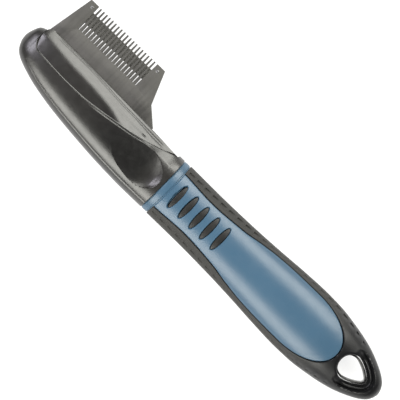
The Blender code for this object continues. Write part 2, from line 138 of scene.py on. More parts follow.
DISH_START = 47.0
DISH_UPPER = [(DISH_START, 0.0), (50, 2.2), (53, 4.3), (57, 5.9), (62.5, 6.7), (65.5, 6.1), (67.6, 4.9),
              (69.3, 3.35), (70.4, 1.8), (70.8, 0.8), (70.9, 0.0)]
DISH_LOWER = [(DISH_START, 0.0), (50, 2.6), (53, 4.7), (57, 6.0), (62.5, 6.75), (65.5, 6.5), (67.6, 5.7),
              (69.3, 4.4), (70.4, 2.8), (70.8, 1.5), (70.9, 0.0)]
DISH_SAG = [(DISH_START, 0.0), (50, 0.06), (56, 0.22), (62, 0.45), (65, 0.78), (67, 1.02), (68.6, 0.92),
            (69.8, 0.52), (70.5, 0.22), (70.8, 0.08), (70.9, 0.0)]
DISH_LEAN = 0.82
DISH_Y = -0.6
DISH_ZONE = (46.0, 72.0)

TEETH = 19
TOOTH_PITCH = 1.491
FIRST_SLOT = 12.26
SLOT_BOTTOM_Y = 18.4
SLOT_TOP_HALF = 0.50
SLOT_BOTTOM_HALF = 0.14
TIP_ROUND = 0.18
PLATE_EDGE = 0.07
STRIP_Y = (21.45, 26.17)
STRIP_RIVETS = {"left": (10.25, 27.2), "right": (43.0, 27.2)}
SCREWS_X = (18.5, 27.5, 36.5)
SCREW_Y = -1.2
SCREW_HEAD_R = 2.2
SCREW_TOP_Z = -6.4

CAMERA_AWAY = 1.2
SENSOR = 36.0
VIEW_WIDTH = 0.14307
LAMP_AWAY = 0.62
LAMP_TILT = 52.0


# Curves


def smooth(points, x):
    """A curve through the points that never overshoots them (monotone cubic)."""
    if x <= points[0][0]:
        return points[0][1]
    if x >= points[-1][0]:
        return points[-1][1]
    i = next(k for k in range(len(points) - 1) if x <= points[k + 1][0])

    def slope(k):
        return (points[k + 1][1] - points[k][1]) / (points[k + 1][0] - points[k][0])

    def tangent(k):
        if k == 0 or k == len(points) - 1:
            return slope(min(k, len(points) - 2))
        before, after = slope(k - 1), slope(k)
        return 0.0 if before * after <= 0 else 2 * before * after / (before + after)

    (x0, y0), (x1, y1) = points[i], points[i + 1]
    span = x1 - x0
    t = (x - x0) / span
    t2, t3 = t * t, t * t * t
    return ((2 * t3 - 3 * t2 + 1) * y0 + (t3 - 2 * t2 + t) * span * tangent(i)
            + (3 * t2 - 2 * t3) * y1 + (t3 - t2) * span * tangent(i + 1))


def ease(low, high, value):
    """0 below low, 1 above high, and a smooth change between them."""
    share = min(1.0, max(0.0, (value - low) / (high - low)))
    return share * share * (3.0 - 2.0 * share)


def spread(low, high, count):
    """count + 1 evenly spaced values from low to high."""
    return [low + (high - low) * (k / count) for k in range(count + 1)]


def lip(distance, radius):
    """How far a rounded edge of this radius has dropped at a distance from the edge."""
    if distance >= radius:
        return 0.0
    return radius - math.sqrt(radius * radius - (radius - max(0.0, distance)) ** 2)


class Outline:
    """A closed outline in plan that says how far a point is from it."""

    def __init__(self, points):
        self.a = np.array(points, float)
        self.d = np.roll(self.a, -1, axis=0) - self.a
        self.squares = np.maximum((self.d**2).sum(1), 1e-12)

    def distance(self, x, y):
        p = np.array((x, y)) - self.a
        t = np.clip((p * self.d).sum(1) / self.squares, 0.0, 1.0)
        return float(np.sqrt(((p - self.d * t[:, None]) ** 2).sum(1).min()))


# Surfaces of the head and the handle


def dome(value, power):
    """A sine or cosine bent so that the section is squarer than an ellipse."""
    return math.copysign(abs(value) ** (2.0 / power), value)


def bowed(x, rise):
    """How far the collar and its neighbours bow towards the loop where the section is high."""
    return BOW * max(0.0, 1.0 - abs(x - HANDLE_START) / 12.0) * rise * rise


def skin(x, t, top, foot, inset=0.0, power=DOME):
    """The point at the angle t of the section at x; inset is its depth below the surface."""
    half = max(0.05, (top - foot) / 2 - inset)
    height = smooth(FRONT_HEIGHT if t >= 0 else REAR_HEIGHT, x) - inset
    rise = dome(math.sin(t), power)
    z = max(max(0.05, height) * rise, -REST_DEPTH + inset)
    return Vector((x + bowed(x, rise), (top + foot) / 2 + half * dome(math.cos(t), power), z))


def angle_at(x, y, top, foot, power=DOME):
    """The angle of the section at x where its surface passes over y."""
    share = (y - (top + foot) / 2) / ((top - foot) / 2)
    share = min(1.0, max(-1.0, share))
    return math.acos(dome(share, 4.0 / power))


def head_skin(x, t, inset=0.0):
    return skin(x, t, smooth(HEAD_TOP, x), smooth(HEAD_FOOT, x), inset, HEAD_DOME)


def head_angle(x, y):
    return angle_at(x, y, smooth(HEAD_TOP, x), smooth(HEAD_FOOT, x), HEAD_DOME)


def head_height(x, y, face=1):
    """Height of the head's front or rear face over a place, before anything is cut into it."""
    top, foot = smooth(HEAD_TOP, x), smooth(HEAD_FOOT, x)
    share = min(1.0, abs(y - (top + foot) / 2) / ((top - foot) / 2))
    height = smooth(FRONT_HEIGHT if face > 0 else REAR_HEIGHT, x)
    return height * (1.0 - share**HEAD_DOME) ** (1.0 / HEAD_DOME)


def rail_heights(x, face):
    """Heights across the rail at x: nearly level by the seam, then a facet down to its top edge."""
    start = smooth(SEAM, x)
    bend = smooth(RAIL_BEND, x)
    ys = np.linspace(start, RAIL_REACH, RAIL_STEPS)
    slopes = np.array([RAIL_TILT + RAIL_SLOPE * ease(bend, bend + RAIL_BEND_WIDTH, y) for y in ys])
    fall = np.concatenate(([0.0], np.cumsum((slopes[1:] + slopes[:-1]) / 2 * np.diff(ys))))
    proud = 0.14 + 0.3 * ease(38.0, 58.0, x) + 0.42 * ease(60.0, 68.0, x)
    return ys, head_height(x, start, face) + proud - fall


def grip_skin(x, t, inset=0.0):
    half = smooth(GRIP_HALF, x)
    return skin(x, t, half, -half, inset)


def grip_angle(x, y, inset=0.0):
    half = smooth(GRIP_HALF, x) - inset
    return angle_at(x, y, half, -half)


def inlay_half(x):
    if x <= INLAY_ROUND_FROM:
        return smooth(INLAY_HALF, x)
    share = min(1.0, (x - INLAY_ROUND_FROM) / (INLAY_END - INLAY_ROUND_FROM))
    return INLAY_BELLY * (1.0 - share**INLAY_END_ROUND) ** (1.0 / INLAY_END_ROUND)


def hole_curve(grow, steps=6):
    """The upper half of the hanging hole's outline, from its left side to its point, moved out by grow.

    The rim is thinner on the left, so the outline moves out less there.
    """
    mirrored = [(HOLE[1][0], -HOLE[1][1])] + HOLE + [(HOLE[-2][0], -HOLE[-2][1])]
    points = [Vector(p) for p in mirrored]
    curve = []
    for k in range(1, len(points) - 2):
        p0, p1, p2, p3 = points[k - 1:k + 3]
        for step in range(steps + (k == len(points) - 3)):
            u = step / steps
            place = 0.5 * (2 * p1 + (p2 - p0) * u + (2 * p0 - 5 * p1 + 4 * p2 - p3) * u * u
                           + (3 * p1 - p0 - 3 * p2 + p3) * u**3)
            along = 0.5 * ((p2 - p0) + 2 * (2 * p0 - 5 * p1 + 4 * p2 - p3) * u
                           + 3 * (3 * p1 - p0 - 3 * p2 + p3) * u * u)
            out = Vector((-along.y, along.x)).normalized()
            curve.append(place + out * grow * (0.42 + 0.58 * ease(162.5, 167.0, place.x)))
    curve[0].y = curve[-1].y = 0.0
    return [(p.x, p.y) for p in curve]


# Meshes


def grid(bm, along, across, point):
    """A sheet of along by across faces. point(i, j) says where each of its points lies."""
    made = bmesh.ops.create_grid(bm, x_segments=along, y_segments=across, size=0.5)["verts"]
    for v in made:
        v.co = point(round((v.co.x + 0.5) * along), round((v.co.y + 0.5) * across))
    return made


def weld(bm, distance=0.004):
    bmesh.ops.remove_doubles(bm, verts=bm.verts, dist=distance)
    bmesh.ops.dissolve_degenerate(bm, edges=bm.edges, dist=distance / 2)


def prism(outline, low, high):
    """A flat solid with this outline between two heights."""
    bm = bmesh.new()
    face = bm.faces.new([bm.verts.new((x, y, low)) for x, y in outline])
    grown = bmesh.ops.extrude_face_region(bm, geom=[face])["geom"]
    raised = [g for g in grown if isinstance(g, bmesh.types.BMVert)]
    bmesh.ops.translate(bm, vec=(0, 0, high - low), verts=raised)
    bmesh.ops.recalc_face_normals(bm, faces=bm.faces)
    return bm


def rims(bm):
    """The open boundary's loops of edges."""
    left = {e for e in bm.edges if e.is_boundary}
    loops = []
    while left:
        loop, queue = [], [left.pop()]
        while queue:
            edge = queue.pop()
            loop.append(edge)
            for v in edge.verts:
                for other in v.link_edges:
                    if other in left:
                        left.remove(other)
                        queue.append(other)
        loops.append(loop)
    return loops


def cap(bm):
    """Closes every open boundary with a face."""
    for loop in rims(bm):
        bmesh.ops.holes_fill(bm, edges=loop)


def piece(name, bm, material, sharp=35.0):
    """Makes the mesh an object in the frame, smooth but for its edges sharper than an angle."""
    bmesh.ops.recalc_face_normals(bm, faces=bm.faces)
    mesh = bpy.data.meshes.new(name)
    bm.to_mesh(mesh)
    bm.free()
    mesh.transform(TO_FRAME)
    mesh.shade_smooth()
    mesh.set_sharp_from_angle(angle=math.radians(sharp))
    mesh.materials.append(material)
    obj = bpy.data.objects.new(name, mesh)
    bpy.context.scene.collection.objects.link(obj)
    return obj


def stand_for(obj, slot, *nodes):
    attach(obj, "root")
    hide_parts(*nodes)
    return obj


# Materials


class Finish:
    """A Principled material with helpers to wire its procedural nodes."""

    def __init__(self, name, roughness, metallic=0.0, **sockets):
        self.material = bpy.data.materials.new(name)
        self.material.use_nodes = True
        self.tree = self.material.node_tree
        self.shader = self.tree.nodes["Principled BSDF"]
        self.shader.inputs["Roughness"].default_value = roughness
        self.shader.inputs["Metallic"].default_value = metallic
        for socket, value in sockets.items():
            self.shader.inputs[socket.replace("_", " ")].default_value = value
        self.place = self.tree.nodes.new("ShaderNodeTexCoord").outputs["Object"]

    def add(self, kind, **values):
        node = self.tree.nodes.new(kind)
        for key, value in values.items():
            if hasattr(node, key):
                setattr(node, key, value)
            else:
                node.inputs[key.replace("_", " ")].default_value = value
        return node

    def link(self, source, target):
        self.tree.links.new(source, target)

    def noise(self, scale, detail=3.0, roughness=0.5, stretch=(1, 1, 1)):
        mapping = self.add("ShaderNodeMapping")
        mapping.inputs["Scale"].default_value = stretch
        self.link(self.place, mapping.inputs["Vector"])
        noise = self.add("ShaderNodeTexNoise", Scale=scale, Detail=detail, Roughness=roughness)
        self.link(mapping.outputs["Vector"], noise.inputs["Vector"])
        return noise.outputs["Fac"]

    def ramp(self, source, *stops):
        ramp = self.add("ShaderNodeValToRGB")
        elements = ramp.color_ramp.elements
        while len(elements) < len(stops):
            elements.new(0.5)
        for element, (position, colour) in zip(elements, stops):
            element.position = position
            shade = colour if isinstance(colour, tuple) else (colour, colour, colour)
            element.color = (*shade, 1.0)
        self.link(source, ramp.inputs["Fac"])
        return ramp.outputs["Color"]

    def span(self, source, low, high, low_in=0.0, high_in=1.0):
        node = self.add("ShaderNodeMapRange")
        limits = (("From Min", low_in), ("From Max", high_in), ("To Min", low), ("To Max", high))
        for key, value in limits:
            node.inputs[key].default_value = value
        self.link(source, node.inputs["Value"])
        return node.outputs["Result"]

    def math(self, operation, one, two):
        node = self.add("ShaderNodeMath", operation=operation)
        for socket, value in zip(node.inputs, (one, two)):
            if isinstance(value, (int, float)):
                socket.default_value = value
            else:
                self.link(value, socket)
        return node.outputs["Value"]

    def bump(self, height, distance, strength=1.0, after=None):
        node = self.add("ShaderNodeBump", Strength=strength, Distance=distance)
        self.link(height, node.inputs["Height"])
        if after is not None:
            self.link(after, node.inputs["Normal"])
        return node.outputs["Normal"]

    def colour(self, source):
        self.link(source, self.shader.inputs["Base Color"])

    def set(self, socket, source):
        self.link(source, self.shader.inputs[socket])


def head_plastic():
    """Grained dark plastic, polished smoother where the thumb lies; painted shade darkens its colour there.
    """
    finish = Finish("head_plastic", 0.33, IOR=1.62)
    place = finish.add("ShaderNodeSeparateXYZ")
    finish.link(finish.place, place.inputs["Vector"])
    along = finish.span(place.outputs["X"], 0.0, 1.0, NOSE_X, NOSE_X + HEAD_END * MM)
    # Mask of the thumb's stretch of the head: it lowers the roughness there (real polish) and carries
    # painted shade into the colour.
    polish_and_shade = finish.ramp(along, (0.0, 0.0), (0.45, 0.0), (0.68, 1.0), (0.86, 1.0), (0.94, 0.0))
    tone = finish.ramp(finish.noise(60.0, 4.0), (0.3, (0.0092, 0.0085, 0.0078)),
                       (0.7, (0.0125, 0.0116, 0.0108)))
    # Painted shade: along the thumb's stretch the colour is mixed towards near-black.
    mix = finish.add("ShaderNodeMix", data_type="RGBA")
    finish.link(finish.span(polish_and_shade, 0.0, 0.72), mix.inputs["Factor"])
    finish.link(tone, mix.inputs["A"])
    mix.inputs["B"].default_value = (0.002, 0.002, 0.002, 1.0)
    finish.colour(mix.outputs["Result"])
    worn = finish.span(finish.noise(420.0, 5.0, 0.6), -0.03, 0.04, 0.3, 0.7)
    finish.set("Roughness", finish.math("ADD", worn, finish.span(polish_and_shade, 0.33, 0.305)))
    fine = finish.bump(finish.noise(3400.0, 2.0, 0.6), 0.000014)
    finish.set("Normal", finish.bump(finish.noise(380.0, 3.0), 0.00003, 0.5, fine))
    return finish.material


def blue_plastic():
    """Smooth moulded plastic: a faint grain, flow marks and rubbed patches."""
    finish = Finish("blue_plastic", 0.36)
    finish.colour(finish.ramp(finish.noise(60.0, 4.0), (0.3, (0.0345, 0.0775, 0.126)),
                              (0.7, (0.0375, 0.083, 0.133))))
    finish.set("Roughness", finish.span(finish.noise(420.0, 5.0, 0.6), 0.33, 0.4, 0.3, 0.7))
    grain = 4200.0
    fine = finish.bump(finish.noise(grain, 2.0, 0.6), 0.000006)
    finish.set("Normal", finish.bump(finish.noise(grain / 9, 3.0), 0.000012, 0.5, fine))
    return finish.material


def grip_rubber():
    """Soft skin: a matt, finely grained rubber that is smoother and darker towards the loop."""
    finish = Finish("grip_rubber", 0.6, IOR=1.42)
    along = finish.add("ShaderNodeSeparateXYZ")
    finish.link(finish.place, along.inputs["Vector"])
    loop = finish.span(along.outputs["X"], 0.0, 1.0, NOSE_X + 0.144, NOSE_X + 0.158)
    tone = finish.ramp(finish.noise(90.0, 4.0), (0.3, (0.017, 0.0165, 0.015)),
                       (0.7, (0.021, 0.0205, 0.0185)))
    mix = finish.add("ShaderNodeMix", data_type="RGBA")
    finish.link(loop, mix.inputs["Factor"])
    finish.link(tone, mix.inputs["A"])
    mix.inputs["B"].default_value = (0.0048, 0.0049, 0.0057, 1.0)
    finish.colour(mix.outputs["Result"])
    finish.set("Roughness", finish.span(loop, 0.62, 0.36))
    grain = finish.noise(4300.0, 2.0, 0.65)
    weight = finish.math("MULTIPLY", grain, finish.span(loop, 1.0, 0.25))
    finish.set("Normal", finish.bump(weight, 0.00004))
    return finish.material


def pad_rubber():
    """The finger pads' rubber, a little smoother than the skin."""
    finish = Finish("pad_rubber", 0.45, IOR=1.42)
    finish.colour(finish.ramp(finish.noise(150.0, 4.0), (0.3, (0.0055, 0.0055, 0.0055)),
                              (0.7, (0.0085, 0.0085, 0.008))))
    finish.set("Roughness", finish.span(finish.noise(700.0), 0.4, 0.52, 0.3, 0.7))
    finish.set("Normal", finish.bump(finish.noise(4300.0, 2.0, 0.65), 0.00003))
    return finish.material


def liner_plastic():
    """The glossy rim of the hanging hole."""
    finish = Finish("liner_plastic", 0.2)
    finish.colour(finish.ramp(finish.noise(220.0), (0.35, 0.006), (0.7, 0.01)))
    finish.set("Roughness", finish.span(finish.noise(900.0, 4.0), 0.16, 0.3, 0.3, 0.7))
    finish.set("Normal", finish.bump(finish.noise(2500.0), 0.000008))
    return finish.material


def brushed(name, dark, light, roughness, stretch, metallic=1.0, teeth_tone=None):
    """Rolled or ground sheet steel: fine parallel lines and stains, darker towards the teeth if asked."""
    finish = Finish(name, roughness, metallic)
    lines = finish.noise(900.0, 3.0, 0.6, stretch)
    stains = finish.noise(55.0, 5.0, 0.6)
    both = finish.math("ADD", finish.math("MULTIPLY", lines, 0.45),
                       finish.math("MULTIPLY", stains, 0.55))
    tone = finish.ramp(both, (0.35, dark), (0.65, light))
    if teeth_tone is not None:
        place = finish.add("ShaderNodeSeparateXYZ")
        finish.link(finish.place, place.inputs["Vector"])
        mix = finish.add("ShaderNodeMix", data_type="RGBA")
        towards_teeth = finish.span(place.outputs["Y"], 0.0, 0.72, 0.0125, 0.0215)
        finish.link(towards_teeth, mix.inputs["Factor"])
        finish.link(tone, mix.inputs["A"])
        mix.inputs["B"].default_value = teeth_tone
        tone = mix.outputs["Result"]
    finish.colour(tone)
    finish.set("Roughness", finish.span(both, roughness - 0.07, roughness + 0.1, 0.35, 0.65))
    finish.set("Normal", finish.bump(lines, 0.000012))
    return finish.material


def blade_steel():
    return brushed("blade_steel", (0.1, 0.0975, 0.092), (0.152, 0.148, 0.141), 0.54, (1, 0.06, 1), 0.7,
                   (0.058, 0.0565, 0.053, 1.0))


def strip_steel():
    return brushed("strip_steel", (0.12, 0.117, 0.11), (0.16, 0.156, 0.147), 0.5, (1, 0.08, 1),
                   0.55)


def fixing_steel():
    return brushed("fixing_steel", (0.36, 0.36, 0.365), (0.52, 0.52, 0.525), 0.32, (1, 1, 1))


# The handle


def grip_stations():
    """Places along the handle, the half width of the window or hole there, and how its wall ends."""
    xs = {HANDLE_START, 75.6, 76.0}
    for k in range(TILES):
        xs.update(FIRST_TILE + k * TILE_PITCH + d for d in TILE_OFFSETS)
    end = INLAY_END + GAP
    xs = sorted(x for x in xs if x < end - 1.3)
    xs += [end - d for d in (1.25, 1.05, 0.85, 0.66, 0.48, 0.32, 0.2, 0.1, 0.04)]
    stations = []
    for x in xs:
        along = max(0.0, x - GAP * ease(145.0, INLAY_END, x))
        stations.append((x, inlay_half(along) + GAP, "window"))
    stations.append((end, 0.0, "window"))
    rim = hole_curve(LINER_WALL + GAP)
    stations += [(x, 0.0, "none") for x in spread(end, rim[0][0], 5)]
    stations += [(x, y, "hole") for x, y in rim]
    last = LENGTH - rim[-1][0]
    tip = [LENGTH - last * (1.0 - math.sin(a)) for a in spread(0.0, math.pi / 2, 22)]
    return stations + [(x, 0.0, "none") for x in tip]


def tile_depth(x, share, reach, side):
    """The sunk tiles in the grip's sides: wedges, deepest at the outer and left edges."""
    k = round((x - FIRST_TILE - TILE_LENGTH / 2) / TILE_PITCH)
    if not 0 <= k < TILES:
        return 0.0
    length = TILE_LENGTH * (1.0 - 0.55 * ease(19.5, 22.0, k))
    p = (x - FIRST_TILE - k * TILE_PITCH) / length
    if p < 0 or p > 1 or share < 0 or share > 1:
        return 0.0
    fade = 1.0 - ease(18.5, 22.5, k) * 0.15
    strength = 1.0 if side > 0 else 0.65
    return TILE_DEPTH * reach * fade * strength * share * (1.0 - p) ** 0.3


def funnel_depth(x, away):
    """The scoop round the hole's point: a steep wall down to a ledge with a groove and a soft bead."""
    reach = ease(163.5, 169.0, x)
    wall = 2.5 * (1.0 - ease(1.9, 2.9, away))
    bead = 0.68 * math.exp(-(((away - 1.35) / 0.55) ** 2))
    groove = 0.35 * math.exp(-(((away - 0.5) / 0.25) ** 2))
    return reach * (wall - bead + groove) + lip(away, 0.35 + 0.5 * (1.0 - reach))


def grip_half(bm, side, stations, window, hole):
    """One side of the soft skin, from the front window or hole edge round to the rear one."""
    wall, inner, tile, outer = 2, 24, 4, 9
    crowding = 1.35
    quarter = wall + inner + tile + 1 + outer
    cache = {}

    def rows_at(x, edge):
        t_edge = grip_angle(x, edge)
        rim_y = smooth(TILE_EDGE, x)
        high = min(TILE_BAND, max(0.05, (rim_y - edge) * 0.75))
        t_outer = grip_angle(x, rim_y)
        t_inner = min(grip_angle(x, rim_y - high), t_edge)
        t_step = max(0.02, t_outer - TILE_STEP)
        rows = [t_edge + (t_inner - t_edge) * (k / inner) ** crowding for k in range(inner)]
        rows += [t_inner + (t_outer - t_inner) * k / tile for k in range(tile + 1)]
        rows += [t_step * (1 - k / outer) for k in range(outer + 1)]
        return rows, high / TILE_BAND

    def point(i, j):
        x, edge, end = stations[i]
        if i not in cache:
            cache[i] = rows_at(x, edge)
        rows, reach = cache[i]
        face = 1 if j <= quarter else -1
        row = (j if face > 0 else 2 * quarter - j) - wall
        t = rows[max(0, row)]
        depth = tile_depth(x, (row - inner) / tile, reach, side) if x < TILES_END else 0.0
        flat = grip_skin(x, face * t, depth)
        if x < INLAY_END + 1.5:
            depth += lip(window.distance(flat.x, flat.y), 0.35)
        depth += lip(x - HANDLE_START, 0.16)
        spot = grip_skin(x, face * t, depth)
        high = abs(spot.z)
        if x > INLAY_END:
            high = max(0.0, high - funnel_depth(x, hole.distance(flat.x, flat.y)))
        if row < 0:
            share = -row / wall
            high -= {"window": min(high, 1.3), "none": 0.0, "hole": high}[end] * share
        y = 0.0 if edge == 0.0 and row <= 0 else side * spot.y
        return Vector((spot.x, y, math.copysign(high, face)))

    grid(bm, len(stations) - 1, 2 * quarter, point)


def window_outline(edge):
    """The outline in plan whose upper half is the edge, left open well before the handle."""
    mirrored = [(x, -y) for x, y in reversed(edge[:-1])]
    return Outline([(BEYOND_START, edge[0][1])] + edge + mirrored + [(BEYOND_START, -edge[0][1])])


def grip_overmould(material):
    """The soft skin round the core, with the loop."""
    stations = grip_stations()
    window = window_outline([(x, y) for x, y, end in stations if end == "window"])
    rim = hole_curve(LINER_WALL + GAP)
    hole = Outline(rim + [(x, -y) for x, y in reversed(rim[1:-1])])
    bm = bmesh.new()
    for side in (1, -1):
        grip_half(bm, side, stations, window, hole)
    weld(bm)
    return stand_for(piece("grip_skin", bm, material), "grip_rubber", "grip_overmould")


def pad_distance(x, y):
    """Distance outside the nearest finger pad's leaf outline, negative inside it."""
    k = min(PADS - 1, max(0, round((x - FIRST_PAD) / PAD_PITCH)))
    dx = abs(x - FIRST_PAD - k * PAD_PITCH)
    dy = abs(y - PAD_Y) / PAD_HALF_LENGTH
    if dy >= 1.0:
        return math.hypot(dx, (dy - 1.0) * PAD_HALF_LENGTH)
    return dx - PAD_HALF_WIDTH * math.sqrt(1.0 - dy * dy)


def core_half(name, node, face, material):
    """Half of the blue core: the inlay with its sunk pads, and the flange under the soft skin."""
    pads_from, pads_to = 77.6, 102.6
    edge_round = 0.28
    round_length = INLAY_END - INLAY_ROUND_FROM
    xs = spread(HANDLE_START, pads_from, 7) + spread(pads_from, pads_to, 200)[1:]
    xs += spread(pads_to, INLAY_ROUND_FROM, 70)[1:]
    xs += [INLAY_ROUND_FROM + round_length * math.sin(a) for a in spread(0, math.pi / 2, 48)[1:]]
    flange, wall, top = 4, 2, 96
    total = 2 * (flange + wall) + top
    window = window_outline([(x, inlay_half(x)) for x in xs])

    def point(i, j):
        x = xs[i]
        edge = inlay_half(x)
        side = 1 if j <= total / 2 else -1
        k = j if side > 0 else total - j
        t_edge = grip_angle(x, edge)
        if k < flange:
            start = 0.02
            reach = min(edge, smooth(GRIP_HALF, x) - CORE_DEPTH - GAP)
            t = start + (grip_angle(x, reach, CORE_DEPTH) - start) * k / (flange - 1)
            spot = grip_skin(x, face * t, CORE_DEPTH)
            low = min(1.0, max(0.0, (x - 156.0) / 2.0))
            spot.y += (edge - spot.y) * low
            return Vector((spot.x, side * spot.y, spot.z))
        if k < flange + wall:
            spot = grip_skin(x, face * t_edge, 0.0)
            drop = CORE_DEPTH * (1.0 - (k - flange) / wall) * 0.9 + edge_round
            return Vector((spot.x, side * spot.y, spot.z - face * drop))
        share = (j - flange - wall) / top
        t = t_edge + (math.pi - 2 * t_edge) * share
        spot = grip_skin(x, face * t)
        depth = lip(window.distance(x, spot.y), edge_round) + lip(x - HANDLE_START, edge_round)
        away = pad_distance(spot.x, spot.y)
        if away < 0.4:
            depth += 1.5 * (1.0 - ease(-0.02, 0.2, away))
        return grip_skin(x, face * t, depth)

    bm = bmesh.new()
    grid(bm, len(xs) - 1, total, point)
    weld(bm)
    cap(bm)
    return stand_for(piece(name, bm, material), "handle_blue", node)


def finger_pad(name, node, x, face, material):
    """A leaf-shaped rubber pad that lies a little below the inlay's surface."""
    rings = [(1.16, 1.9), (1.16, 1.3), (1.03, 0.95), (1.0, 0.66), (0.96, 0.5), (0.88, 0.42),
             (0.72, 0.38), (0.5, 0.36), (0.25, 0.35)]
    count = 56

    def point(i, j):
        a = 2 * math.pi * i / count
        share, depth = rings[j]
        px = x + PAD_HALF_WIDTH * share * math.cos(a)
        py = PAD_Y + PAD_HALF_LENGTH * share * math.sin(a)
        return grip_skin(px, face * grip_angle(px, py, depth), depth)

    bm = bmesh.new()
    grid(bm, count, len(rings) - 1, point)
    weld(bm)
    cap(bm)
    return stand_for(piece(name, bm, material), "grip_rubber", node)


def hole_liner(material):
    """The hanging hole's glossy rim: a wall whose edges are a rounded bead."""
    bead = LINER_WALL / 2
    profile = [(0.0, 0.0)]
    profile += [(bead * (1.0 - math.cos(a)), LINER_HALF - bead * (1.0 - math.sin(a)))
                for a in spread(0.0, math.pi, 14)]
    profile += [(LINER_WALL, 0.0)]
    profile += [(d, -h) for d, h in reversed(profile[1:-1])]
    rings = [hole_curve(d) for d, _ in profile]
    half = len(rings[0])
    around = 2 * (half - 1)

    def point(i, j):
        j %= len(profile)
        k = i % around
        x, y = rings[j][k if k < half else around - k]
        height = profile[j][1] * (0.62 + 0.38 * ease(162.4, 166.0, x))
        return Vector((x, y if k < half else -y, height))

    bm = bmesh.new()
    grid(bm, around, len(profile), point)
    weld(bm)
    return stand_for(piece("hole_liner", bm, material, 50.0), "liner_plastic", "hang_hole_liner")


def collar(material):
    """The blue band, with a boss on each side that fills the joints with the head and the handle."""
    start, end = COLLAR[0] - 0.12, COLLAR[1] + 0.1
    left, right = HEAD_END + 0.02, HANDLE_START - 0.02
    edge = [(0.0, 0.48), (0.0, 0.46), (0.04, 0.4), (0.12, 0.31), (0.3, 0.25)]
    profile = [(left, 2.6), (left, 0.5)] + [(start + along, inset) for along, inset in edge]
    profile += [((start + end) / 2, 0.2)] + [(end - along, inset) for along, inset in edge[::-1]]
    profile += [(right, 0.5), (right, 2.6)]
    count = 128

    def point(i, j):
        x, inset = profile[j]
        a = 2 * math.pi * (i % count) / count
        return grip_skin(x, a if a <= math.pi else a - 2 * math.pi, inset)

    bm = bmesh.new()
    grid(bm, count, len(profile) - 1, point)
    weld(bm)
    cap(bm)
    return stand_for(piece("collar_band", bm, material), "handle_blue", "collar_ring")


# The head


def dish_height(x, y, high):
    """The thumb dish: a hollow strung between its two edges, with a crisp rim and a level floor."""
    upper, lower = smooth(DISH_UPPER, x), smooth(DISH_LOWER, x)
    if upper + lower < 0.05 or not -lower < y - DISH_Y < upper:
        return high
    share = (y - DISH_Y + lower) / (upper + lower)
    low_rim, high_rim = head_height(x, DISH_Y - lower), head_height(x, DISH_Y + upper)
    chord = low_rim + (high_rim - low_rim) * share
    sag = smooth(DISH_SAG, x) * (1.0 - (2.0 * share**DISH_LEAN - 1.0) ** 2)
    return min(high, chord - sag)


def head_lines():
    """Where the skin's lines start on the spine (x) and end on the head's upper boundary (x, y).

    The upper boundary runs round the nose to its top end, down the crevice beside the rail,
    along the seam to the notch and up to the neck's edge.
    """
    nose = [4.3 * (1.0 - math.cos(a)) for a in spread(0.0, math.pi / 2, 22)]
    lines = [(x, (x, None)) for x in nose]
    crevice = [(4.38, 9.7), (4.4, 8.9), (4.4, 8.1), (4.4, 7.3), (4.42, 6.5), (4.58, 5.9), (4.85, 5.3),
               (5.2, 4.7), (5.6, 4.15), (6.05, 3.65), (6.6, 3.25)]
    lines += [(4.5 + k * 0.28, spot) for k, spot in enumerate(crevice)]
    start, end = 4.5 + len(crevice) * 0.28, 68.6
    seam_start = 7.1
    for share in spread(0.0, 0.85, 170) + spread(0.85, 1.0, 60)[1:]:
        x = seam_start + (end - seam_start) * share
        lines.append((start + (end - start) * share, (x, smooth(SEAM, x) - smooth(SEAM_GAP, x))))
    notch = [(68.8, 10.26), (69.0, 10.35), (69.2, 10.46), (69.4, 10.6), (69.6, 10.78), (69.75, 11.0),
             (69.85, 11.2), (69.95, None)]
    lines += [(68.75 + k * 0.15, spot) for k, spot in enumerate(notch)]
    lines += [(x, (x, None)) for x in spread(69.95, 71.2, 12) + spread(71.2, HEAD_END - 0.3, 4)[1:]]
    lines += [(HEAD_END - d, (HEAD_END - d, None)) for d in (0.2, 0.12, 0.05, 0.0)]
    return lines


def parting_groove(x, y):
    """The fine line inside the spine's edge, a short one beside the seam, and a small dimple."""
    line = smooth(HEAD_FOOT, x) + 2.05
    beside = smooth(SEAM, x) - 0.62
    spine = 0.2 * math.exp(-(((y - line) / 0.19) ** 2)) * ease(5.0, 16.0, x)
    short = 0.1 * math.exp(-(((y - beside) / 0.14) ** 2))
    short *= ease(28.0, 40.0, x) * (1.0 - ease(54.0, 58.0, x))
    dimple = 0.2 * math.exp(-((x - 67.9) ** 2 + (y - 7.75) ** 2) / 0.2)
    return spine + short + dimple


def neck_facet(x, y, high):
    """The flat facet that runs up beside the rail's right end to the neck."""
    start, end = 6.2, smooth(SEAM, x)
    lift = 0.35
    weight = ease(58.0, 64.0, x) * (1.0 - ease(68.4, 72.2, x))
    if weight == 0.0 or y <= start or end - start < 0.5:
        return high
    share = min(1.0, (y - start) / (end - start))
    flat = head_height(x, start) * (1.0 - share) + (head_height(x, end) + lift) * share
    if y <= end:
        return high + (flat - high) * weight
    return high + lift * weight * (1.0 - ease(end, end + 0.8, y))


